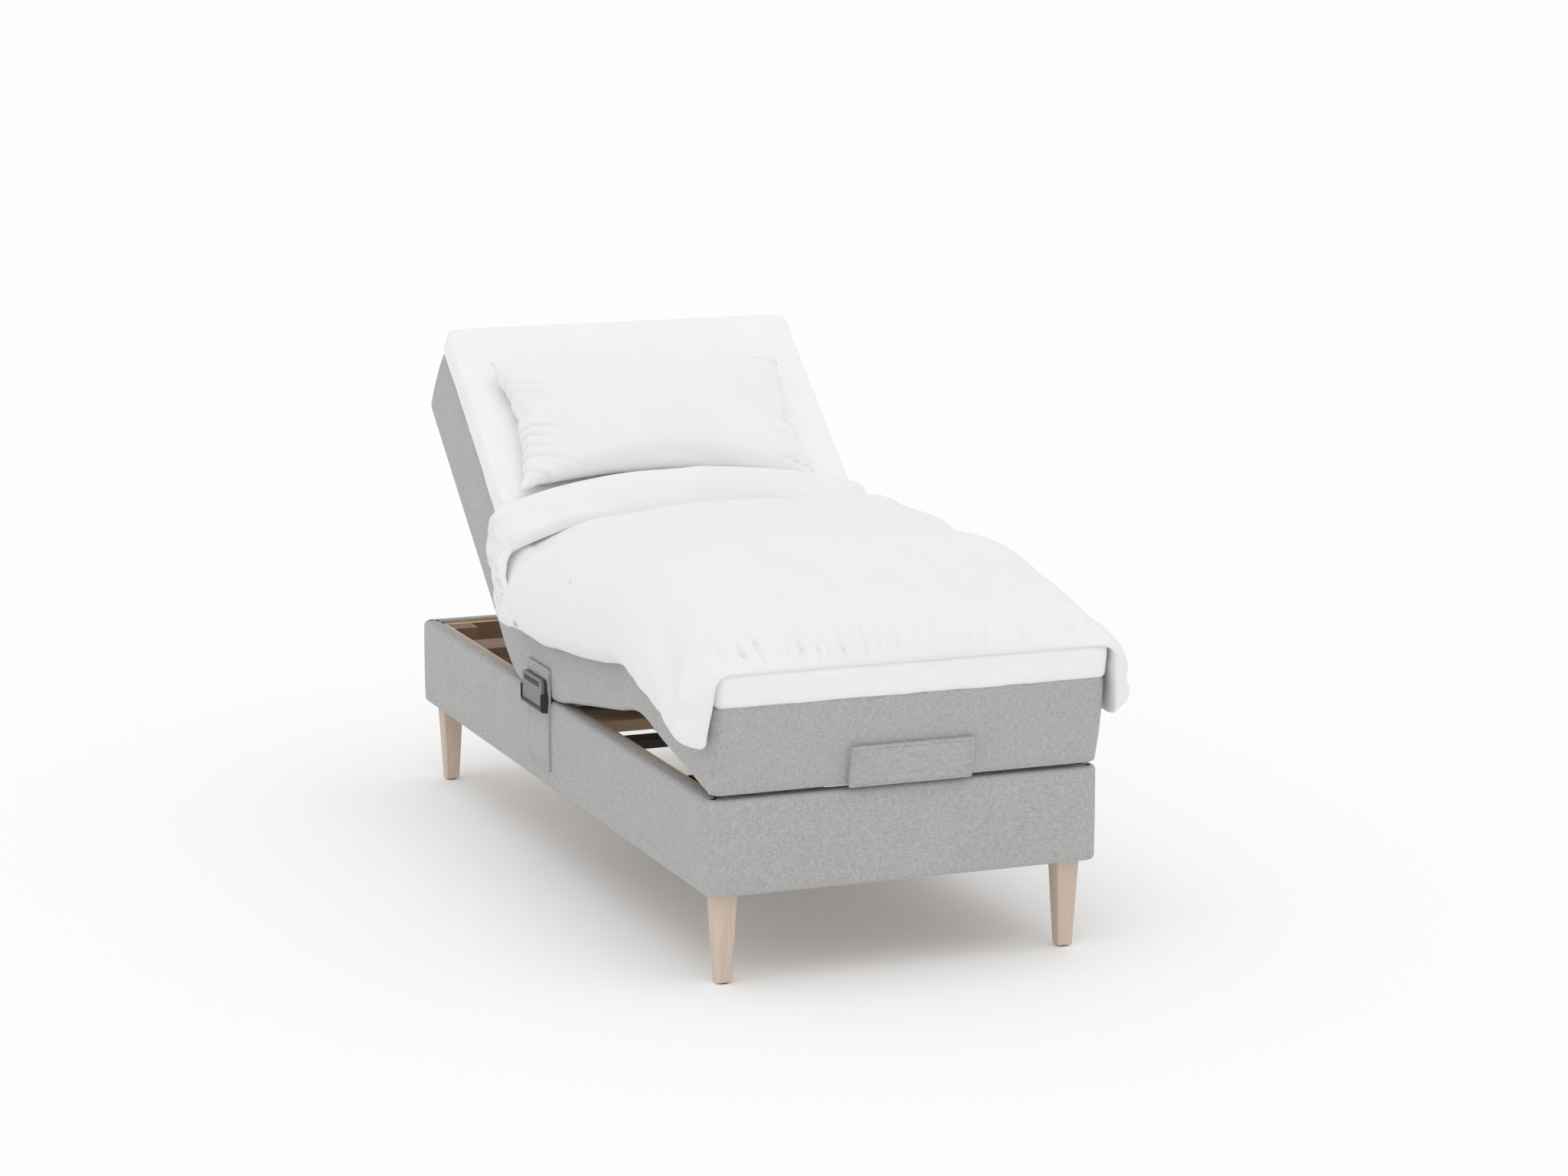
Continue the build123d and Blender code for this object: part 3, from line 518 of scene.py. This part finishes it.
foot_end, head_end = -1.025, 1.075
fine_steps = np.arange(foot_end + 0.03, head_end - 0.029, 0.02)
mattress = block("mattress", (-0.45, foot_end, 0.411), (0.45, head_end, 0.611), 0.03, 0.013, 6, 4)
slice_up(mattress, 1, fine_steps)
slice_up(mattress, 1, (seat_cut, thigh_cut))
slice_up(mattress, 0, np.arange(-0.40, 0.41, 0.08))
slice_up(mattress, 2, np.arange(0.436, 0.6, 0.025))
core = points_of(mattress)
level = (core[:, 2] - 0.511) / 0.1
draw_in = 0.0035 * np.abs(level) ** 3
core[:, 0] -= np.sign(core[:, 0]) * draw_in * (np.abs(core[:, 0]) > 0.41)
core[:, 1] -= np.sign(core[:, 1] - 0.025) * draw_in * (np.abs(core[:, 1] - 0.025) > 1.01)
core[:, 2] -= 0.8 * np.clip(core[:, 2] - 0.4115, 0, 0.013) * (core[:, 1] < -1.005) * (level < -0.85)
move_to(mattress, core)
mattress_pieces = lay(mattress, grey_cloth, ["mattress_back", "mattress_thigh", "mattress_calf"])
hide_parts("mattress_seat")


# The topper is a soft pad in a white knitted cover, held to the mattress by friction. Its
# corners have an upright seam.
def bed_linen(name, colour, fold_scale, fold_height, thread=900.0, sheen=0.15):
    """White cloth with a fine weave and faint rumples."""
    linen = Finish(name, colour, 0.85, Sheen_Weight=sheen, Sheen_Roughness=0.5)
    place = linen.node("ShaderNodeAttribute", {"attribute_name": "cloth"}, {}, "Vector")
    warp = linen.grain(place, (thread, thread * 0.25, thread * 0.25), 2)
    weft = linen.grain(place, (thread * 0.25, thread, thread), 2)
    rumple = linen.grain(place, (fold_scale, fold_scale * 0.7, fold_scale), 4, 0.5)
    weave = warp * 0.5 + weft * 0.5
    shade = linen.span(weave * 0.6 + rumple * 0.4, 0.35, 0.65)
    deep = tuple(c * 0.955 for c in colour)
    linen.put(linen.shader.inputs["Base Color"], linen.tint(shade, deep, colour))
    linen.put(linen.shader.inputs["Roughness"], linen.span(weave, 0.3, 0.7, 0.8, 0.92))
    linen.put(linen.shader.inputs["Specular IOR Level"], 0.2)
    linen.relief(rumple * fold_height + weave * 0.00022, 1.0, 1.0)
    return linen.material


def smooth(t):
    t = min(max(t, 0.0), 1.0)
    return t * t * (3 - 2 * t)


knit = bed_linen("white_knit", (0.93, 0.925, 0.918), 16, 0.0022, 420)
topper = block("topper", (-0.447, foot_end + 0.003, 0.6118), (0.447, head_end - 0.003, 0.6815), 0.022, 0.016, 5, 5)
slice_up(topper, 1, fine_steps)
slice_up(topper, 1, (seat_cut, thigh_cut))
slice_up(topper, 0, np.arange(-0.42, 0.43, 0.04))
slice_up(topper, 2, (0.636, 0.6465, 0.657))
pad = points_of(topper)
for i, p in enumerate(pad):
    soft = noise.noise(Vector(p) * 7) * 0.002 + noise.noise(Vector(p) * 23) * 0.0008
    rise = (p[2] - 0.6118) / 0.07
    pad[i, 2] += soft * rise
    rim = smooth((abs(p[0]) - 0.42) / 0.02) + smooth((abs(p[1] - 0.025) - 1.02) / 0.02)
    pad[i, 2] -= 0.008 * min(rim, 1.0) * (1 - rise) ** 2
    if p[1] < -0.98:
        pad[i, 2] += 0.004 * rise * smooth((-0.98 - p[1]) / 0.03)
    if abs(p[0]) > 0.43:
        pad[i, 0] += math.copysign(soft * 1.2 - 0.0015 * abs(2 * rise - 1) ** 2, p[0])
    if abs(p[1] - 0.025) > 1.03:
        wave = noise.noise(Vector((p[0] * 9, p[2] * 12, 3.3))) * 0.0035
        wave -= 0.003 * max(0.0, 1 - 6 * abs(noise.noise(Vector((p[0] * 14, p[2] * 16, 7.7)))))
        pad[i, 1] += math.copysign(soft * 1.2 + wave - 0.002 * abs(2 * rise - 1) ** 2, p[1])
move_to(topper, pad)
lay(topper, knit, ["topper_back", "topper_thigh", "topper_calf"])
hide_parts("topper_seat")


# The duvet is two sheets of cotton sewn together round a down filling. It lies over the
# topper, hangs down on both sides and ends in a roll at the foot.
def two_sheets(name, cells, under, lift):
    """A quilt of two sheets that meet at the seam round them: under gives a point of the
    lower sheet and its outward way, and lift how far the upper sheet stands off it."""
    across, along = cells
    lower = np.zeros((along + 1, across + 1, 3))
    upper = np.zeros((along + 1, across + 1, 3))
    for j in range(along + 1):
        for i in range(across + 1):
            point, way = under(i / across, j / along)
            lower[j, i] = point
            upper[j, i] = point + way * lift(i / across, j / along)
    mesh = bmesh.new()
    rows = {}
    for j in range(along + 1):
        for i in range(across + 1):
            rows["low", j, i] = mesh.verts.new(lower[j, i])
            seam = i in (0, across) or j in (0, along)
            rows["top", j, i] = rows["low", j, i] if seam else mesh.verts.new(upper[j, i])
    for j in range(along):
        for i in range(across):
            ring = [(j, i), (j, i + 1), (j + 1, i + 1), (j + 1, i)]
            top = [rows["top", *at] for at in ring]
            low_ring = [rows["low", *at] for at in ring]
            mesh.faces.new(top)
            mesh.faces.new(low_ring[::-1])
    bmesh.ops.recalc_face_normals(mesh, faces=mesh.faces)
    made = bpy.data.meshes.new(name)
    mesh.to_mesh(made)
    held = [rows["low", j, i].index for j in range(along + 1) for i in range(across + 1)]
    mesh.free()
    thing = bpy.data.objects.new(name, made)
    bpy.context.collection.objects.link(thing)
    thing.vertex_groups.new(name="held").add(held, 1.0, "REPLACE")
    return thing


def soft_end(distance, radius):
    """From 0 at a seam to 1 at its radius away, as a round edge."""
    t = min(max(distance / radius, 0.0), 1.0)
    return math.sqrt(max(0.0, 1 - (1 - t) ** 2))


def draped(u, y, hem, ground, half, stand_off, slant=0.0, corner=0.022):
    """A point at u across a cloth that lies on the topper and hangs to a hem on both sides,
    and the way off the topper there. On the raised back it hangs aslant, straight down."""
    drop = ground - corner - hem
    arc = corner * math.pi / 2
    flat = half - corner
    total = 2 * (drop + arc + flat)
    s = (u - 0.5) * total
    side = math.copysign(1.0, s) if s else 1.0
    s = abs(s)
    if s < flat:
        return np.array([side * s, y, ground]), np.array([0, 0, 1.0])
    if s < flat + arc:
        a = (s - flat) / corner
        place = [side * (flat + corner * math.sin(a)), y, ground - corner * (1 - math.cos(a))]
        return np.array(place), np.array([side * math.sin(a), 0, math.cos(a)])
    down = s - flat - arc
    out = stand_off * smooth(down / max(drop, 1e-6))
    place = [side * (half + out), y - slant * down, ground - corner - down]
    return np.array(place), np.array([side, 0, 0.0])


duvet_foot, duvet_head = -1.029, 0.512
hem_heights = ((-1.03, 0.512), (-0.93, 0.506), (-0.5, 0.512), (-0.27, 0.520), (0.1, 0.551), (0.52, 0.562))


def hem_at(y):
    return float(np.interp(y, *zip(*hem_heights)))


def head_edge(head, u):
    """The head edge of the cloth bows towards the foot at both sides."""
    return head - 0.05 * min(abs(u - 0.5) * 1.2 / 0.45, 1.0) ** 2


def duvet_under(u, v):
    y = duvet_foot + (head_edge(duvet_head, u) - duvet_foot) * v
    end = min(y - duvet_foot, 0.06) / 0.06
    hem = hem_at(y) + 0.03 * (1 - math.sqrt(max(0, 1 - (1 - end) ** 2)))
    slant = 0.82 * smooth((y - 0.12) / 0.25)
    point, way = draped(u, y, hem, 0.6826, 0.4545, 0.012, slant)
    if abs(point[0]) > 0.44:
        point[1] -= 0.012 * (1 - smooth((y - duvet_foot) / 0.2))
    return point, way


filling = (
    (-1.03, 0.062), (-0.9, 0.066), (-0.6, 0.068), (-0.4, 0.088), (-0.2, 0.126), (0.0, 0.148),
    (0.1, 0.149), (0.2, 0.130), (0.3, 0.100), (0.35, 0.072), (0.39, 0.034), (0.52, 0.026),
)
crowning = (
    (-1.03, 0.6), (-0.6, 0.58), (-0.4, 0.48), (-0.2, 0.26), (0.0, 0.06), (0.12, 0.04),
    (0.22, 0.36), (0.32, 0.85), (0.42, 0.95),
)
left_crowning = ((-1.03, 0.6), (-0.4, 0.52), (-0.2, 0.46), (0.15, 0.5), (0.32, 0.85), (0.42, 0.95))


def along_bed(table, y):
    """A value that a table gives along the flat bed."""
    return float(np.interp(y, *zip(*table)))


def loft_at(x, y, full):
    """How thick the filling is on top of the bed: crowned in the middle."""
    crown = along_bed(left_crowning if x < 0 else crowning, y)
    return full * (1 - crown * min(abs(x) / 0.45, 1.0) ** 2.5)


def duvet_lift(u, v):
    head = head_edge(duvet_head, u)
    y = duvet_foot + (head - duvet_foot) * v
    edge = min(u, 1 - u) * 1.22
    x = (u - 0.5) * 1.22
    ends = soft_end(y - duvet_foot, 0.07) * soft_end(head - y, 0.05)
    full = along_bed(filling, y)
    top = loft_at(x, y, full)
    side = 0.052 + 0.016 * (1 - smooth((y - duvet_foot) / 0.25)) - 0.036 * smooth((y - 0.3) / 0.1)
    share = smooth((abs(x) - 0.43) / 0.07)
    return (top * (1 - share) + side * share) * soft_end(edge, 0.06) * ends


duvet = two_sheets("duvet", (104, 138), duvet_under, duvet_lift)


def filled_out(thing, pressure, cap, stiffness=12, frames=18, shrink=0.0):
    """Lets the filling press the cloth out, with its held points kept still."""
    before = points_of(thing)
    cloth = thing.modifiers.new("filling", "CLOTH")
    cloth.settings.quality = 4
    cloth.settings.mass = 0.25
    cloth.settings.tension_stiffness = stiffness
    cloth.settings.compression_stiffness = stiffness
    cloth.settings.shear_stiffness = stiffness / 3
    cloth.settings.bending_stiffness = 0.15
    cloth.settings.air_damping = 4
    cloth.settings.use_pressure = True
    cloth.settings.uniform_pressure_force = pressure
    cloth.settings.shrink_min = shrink
    cloth.settings.effector_weights.gravity = 0
    if thing.vertex_groups.get("held"):
        cloth.settings.vertex_group_mass = "held"
    cloth.collision_settings.use_collision = False
    cloth.point_cache.frame_start, cloth.point_cache.frame_end = 1, frames
    for step in range(1, frames + 1):
        bpy.context.scene.frame_set(step)
    bpy.context.view_layer.objects.active = thing
    bpy.ops.object.modifier_apply(modifier="filling")
    bpy.context.scene.frame_set(1)
    moved = points_of(thing) - before
    far = np.linalg.norm(moved, axis=1, keepdims=True)
    held_back = np.minimum(far, cap * np.tanh(far / cap)) / np.maximum(far, 1e-9)
    move_to(thing, before + moved * held_back)


def refine(thing):
    """One smooth subdivision."""
    bpy.ops.object.select_all(action="DESELECT")
    thing.select_set(True)
    bpy.context.view_layer.objects.active = thing
    finer = thing.modifiers.new("finer", "SUBSURF")
    finer.levels = finer.render_levels = 1
    bpy.ops.object.modifier_apply(modifier="finer")
    bpy.ops.object.shade_smooth()


def creased(value):
    """1 in a narrow furrow where the noise passes through nought."""
    return max(0.0, 1 - 5 * abs(value)) ** 1.5


filled_out(duvet, 2.0, 0.02)
refine(duvet)
cotton = bed_linen("white_cotton", (0.903, 0.893, 0.894), 11, 0.0028, 1300)
shape = points_of(duvet)
normals = np.empty(len(duvet.data.vertices) * 3)
duvet.data.vertices.foreach_get("normal", normals)
normals = normals.reshape(-1, 3)
for i, p in enumerate(shape):
    above = smooth((p[2] - 0.69) / 0.03)
    near_foot = 1 - smooth((p[1] - duvet_foot - 0.02) / 0.12)
    ridge = noise.noise(Vector((p[0] * 34, p[1] * 5, 1.7)))
    ridge -= 1.3 * creased(noise.noise(Vector((p[0] * 24, p[1] * 4, 4.1))))
    left = 0.5 + 0.9 * smooth((0.1 - p[0]) / 0.5)
    rumple = noise.noise(Vector(p) * 5.5) * 0.004 + noise.noise(Vector(p) * 13 + Vector((3, 1, 7))) * 0.0022
    hang = smooth((0.66 - p[2]) / 0.05) * smooth((abs(p[0]) - 0.47) / 0.02)
    swag = noise.noise(Vector((p[1] * 16, p[2] * 4, 9.2 * (p[0] > 0)))) * 0.006 * hang
    amount = above * (ridge * 0.0075 * near_foot * left + rumple) + swag
    shape[i] += normals[i] * amount
move_to(duvet, shape)
duvet_pieces = lay(duvet, cotton, ["duvet_back", "duvet_thigh", "duvet_calf"])
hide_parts("duvet_seat")

# The head end of the duvet is turned back over itself, so there it lies double with a
# puffy rim.
fold_foot, fold_head = 0.385, 0.54


def fold_edges(u):
    """The foot and head edges of the fold. Its left end sags towards the foot."""
    sag = 0.05 if u > 0.5 else 0.2
    return fold_foot - sag * min(abs(u - 0.5) * 1.12 / 0.45, 1.0) ** 3, head_edge(fold_head, u)


def fold_under(u, v):
    foot, head = fold_edges(u)
    y = foot + (head - foot) * v
    over = smooth((head - y) / 0.03)
    x = (u - 0.5) * 1.12
    ground = 0.6835 + over * (loft_at(x, y, along_bed(filling, y)) + 0.002)
    half = 0.4565 + over * (0.012 + 0.034 * (1 - smooth((y - 0.24) / 0.12)))
    return draped(u, y, 0.57, ground, half, 0.006, 0.82, 0.022 + 0.02 * over)


def fold_lift(u, v):
    foot, head = fold_edges(u)
    x = abs(u - 0.5) * 1.12
    ends = soft_end(v * (head - foot), 0.035) * soft_end((1 - v) * (head - foot), 0.04)
    hanging = smooth((x - 0.43) / 0.07)
    body = 0.04 * (1 - 0.25 * min(x / 0.45, 1) ** 3) * (1 - hanging) + 0.018 * hanging
    return body * soft_end(0.56 - x, 0.05) * ends


fold = two_sheets("duvet_fold", (104, 22), fold_under, fold_lift)
filled_out(fold, 2.5, 0.018)
refine(fold)
shape = points_of(fold)
normals = np.empty(len(fold.data.vertices) * 3)
fold.data.vertices.foreach_get("normal", normals)
normals = normals.reshape(-1, 3)
for i, p in enumerate(shape):
    rumple = noise.noise(Vector(p) * 6.5) * 0.004 + noise.noise(Vector(p) * 16) * 0.0018
    end = smooth((abs(p[0]) - 0.40) / 0.08)
    ridge = noise.noise(Vector((p[0] * 10, p[1] * 60, p[2] * 22))) * 0.004
    ridge = (ridge - 0.005 * creased(noise.noise(Vector((p[1] * 26, p[2] * 34, 5.5))))) * end
    if p[2] > 0.735 or end > 0:
        shape[i] += normals[i] * (rumple + ridge)
weave_follows(fold, shape)
move_to(fold, raised(shape))
fold.data.materials.append(cotton)
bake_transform(fold)

# The pillow is a plump cotton cushion that leans on the raised back, its seam gathered at
# both ends.
pillow_low = 0.474
pillow_seam = 0.6835 + 0.024
pillow_turn = math.radians(-2.4)
pillow_aside = -0.022


def pillow_under(u, v):
    point = np.array([(u - 0.5) * 0.758, pillow_low + v * 0.43, pillow_seam + 0.008 * v])
    bow_x = 0.012 * math.sin(math.pi * v)
    bow_y = (0.012 if v > 0.5 else 0.045) * math.sin(math.pi * u)
    point[0] -= math.copysign(bow_x, u - 0.5) * smooth(abs(2 * u - 1))
    point[1] -= math.copysign(bow_y, v - 0.5) * smooth(abs(2 * v - 1))
    point[2] -= 0.024 * (math.sin(math.pi * u) * math.sin(math.pi * v)) ** 0.5
    return point, np.array([0, 0, 1.0])


def pillow_lift(u, v):
    return 0.092 * (math.sin(math.pi * u) * math.sin(math.pi * v)) ** 0.42


pillow = two_sheets("bed_pillow", (78, 46), pillow_under, pillow_lift)
pillow.vertex_groups.clear()
filled_out(pillow, 3.0, 0.02, 8, 20, -0.03)
refine(pillow)
shape = points_of(pillow)
normals = np.empty(len(pillow.data.vertices) * 3)
pillow.data.vertices.foreach_get("normal", normals)
normals = normals.reshape(-1, 3)
for i, p in enumerate(shape):
    end = smooth((abs(p[0]) - 0.2) / 0.14)
    ridge = noise.noise(Vector((p[0] * 7, p[1] * 52 + p[0] * 14, 2.2))) * 0.004
    ridge -= 0.006 * creased(noise.noise(Vector((p[0] * 5, p[1] * 30 + p[0] * 9, 8.4))))
    ridge *= end
    rumple = noise.noise(Vector(p) * 8) * 0.003
    shape[i] += normals[i] * (rumple + ridge)
    shape[i, 2] = max(shape[i, 2], 0.6832)
weave_follows(pillow, shape)
aside = shape - (0, pillow_low + 0.21, 0)
c, s = math.cos(pillow_turn), math.sin(pillow_turn)
shape[:, 0] = aside[:, 0] * c - aside[:, 1] * s + pillow_aside
shape[:, 1] = aside[:, 0] * s + aside[:, 1] * c + pillow_low + 0.21
move_to(pillow, turned(shape, hip, back_raised))
pillow.data.materials.append(cotton)
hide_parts("pillow")
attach(pillow, "back")


# A doubled flap of the cover cloth hangs from under the mattress on the left and carries
# the handset holder.
def sewn_pad(name, low, high, thin_axis, round_edge, seam_inset):
    """A flat sewn piece: a soft slab with a stitched line round its face."""
    made = block(name, low, high, 0, round_edge, 4, 3)
    low, high = Vector(low), Vector(high)
    for axis in range(3):
        if axis == thin_axis:
            continue
        near = [low[axis] + seam_inset, high[axis] - seam_inset]
        cuts = [near[0] - 0.0012, near[0], near[0] + 0.0012, near[1] - 0.0012, near[1], near[1] + 0.0012]
        span = high[axis] - low[axis]
        cuts += list(np.linspace(low[axis] + 0.2 * span, high[axis] - 0.2 * span, 7))
        slice_up(made, axis, cuts)
    shape = points_of(made)
    centre = (low[thin_axis] + high[thin_axis]) / 2
    across = [a for a in range(3) if a != thin_axis]
    for i, p in enumerate(shape):
        inset = min(min(p[a] - low[a], high[a] - p[a]) for a in across)
        stitched = abs(inset - seam_inset) < 0.0005
        side = 1 if p[thin_axis] > centre else -1
        if inset > 0.001:
            shape[i, thin_axis] -= side * (0.0012 if stitched else 0)
    move_to(made, shape)
    weave_follows(made, shape)
    bpy.ops.object.select_all(action="DESELECT")
    made.select_set(True)
    bpy.context.view_layer.objects.active = made
    bpy.ops.object.shade_smooth_by_angle(angle=math.radians(50))
    made.data.materials.append(grey_cloth)
    return made


low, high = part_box("side_flap")
flap = sewn_pad("holder_flap", low, high, 0, 0.0028, 0.008)
shape = points_of(flap)
pinch = np.exp(-(((shape[:, 2] - 0.4105) / 0.012) ** 2))
shape[:, 0] += 0.0022 * pinch * (shape[:, 0] < -0.454)
move_to(flap, shape)
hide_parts("side_flap")
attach(flap, "base")

# The handset has a black back shell, a satin grey face and a strip of ribbed keys. It
# slides out of a moulded holder with a curved lower lip.
grey_plastic = moulding("satin_grey", (0.2, 0.2, 0.205), (0.165, 0.165, 0.17), 0.42, 0.0002)
finish_of(grey_plastic, "handset_front")
finish_of(black_plastic, "handset_back", "handset_holder")
finish_of(black_plastic, *[n for n in nodes if n.startswith("key_")])

# A padded patch of the same cloth is sewn to the foot face of the mattress, where the
# mattress is gripped.
tilt = math.radians(11)
patch_low = (-0.14, foot_end - 0.0145, 0.0)
low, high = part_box("foot_patch")
patch = sewn_pad("grip_patch", (-0.14, -0.007, -0.046), (0.14, 0.007, 0.046), 1, 0.004, 0.006)
shape = points_of(patch)
c, s = math.cos(tilt), math.sin(tilt)
centre = (Vector(low) + Vector(high)) / 2
weave_follows_shape = shape.copy()
shape = np.stack([shape[:, 0], shape[:, 1] * c - shape[:, 2] * s, shape[:, 1] * s + shape[:, 2] * c], 1)
move_to(patch, shape + np.array(centre))
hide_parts("foot_patch")
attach(patch, "calf")

bpy.ops.object.select_all(action="DESELECT")
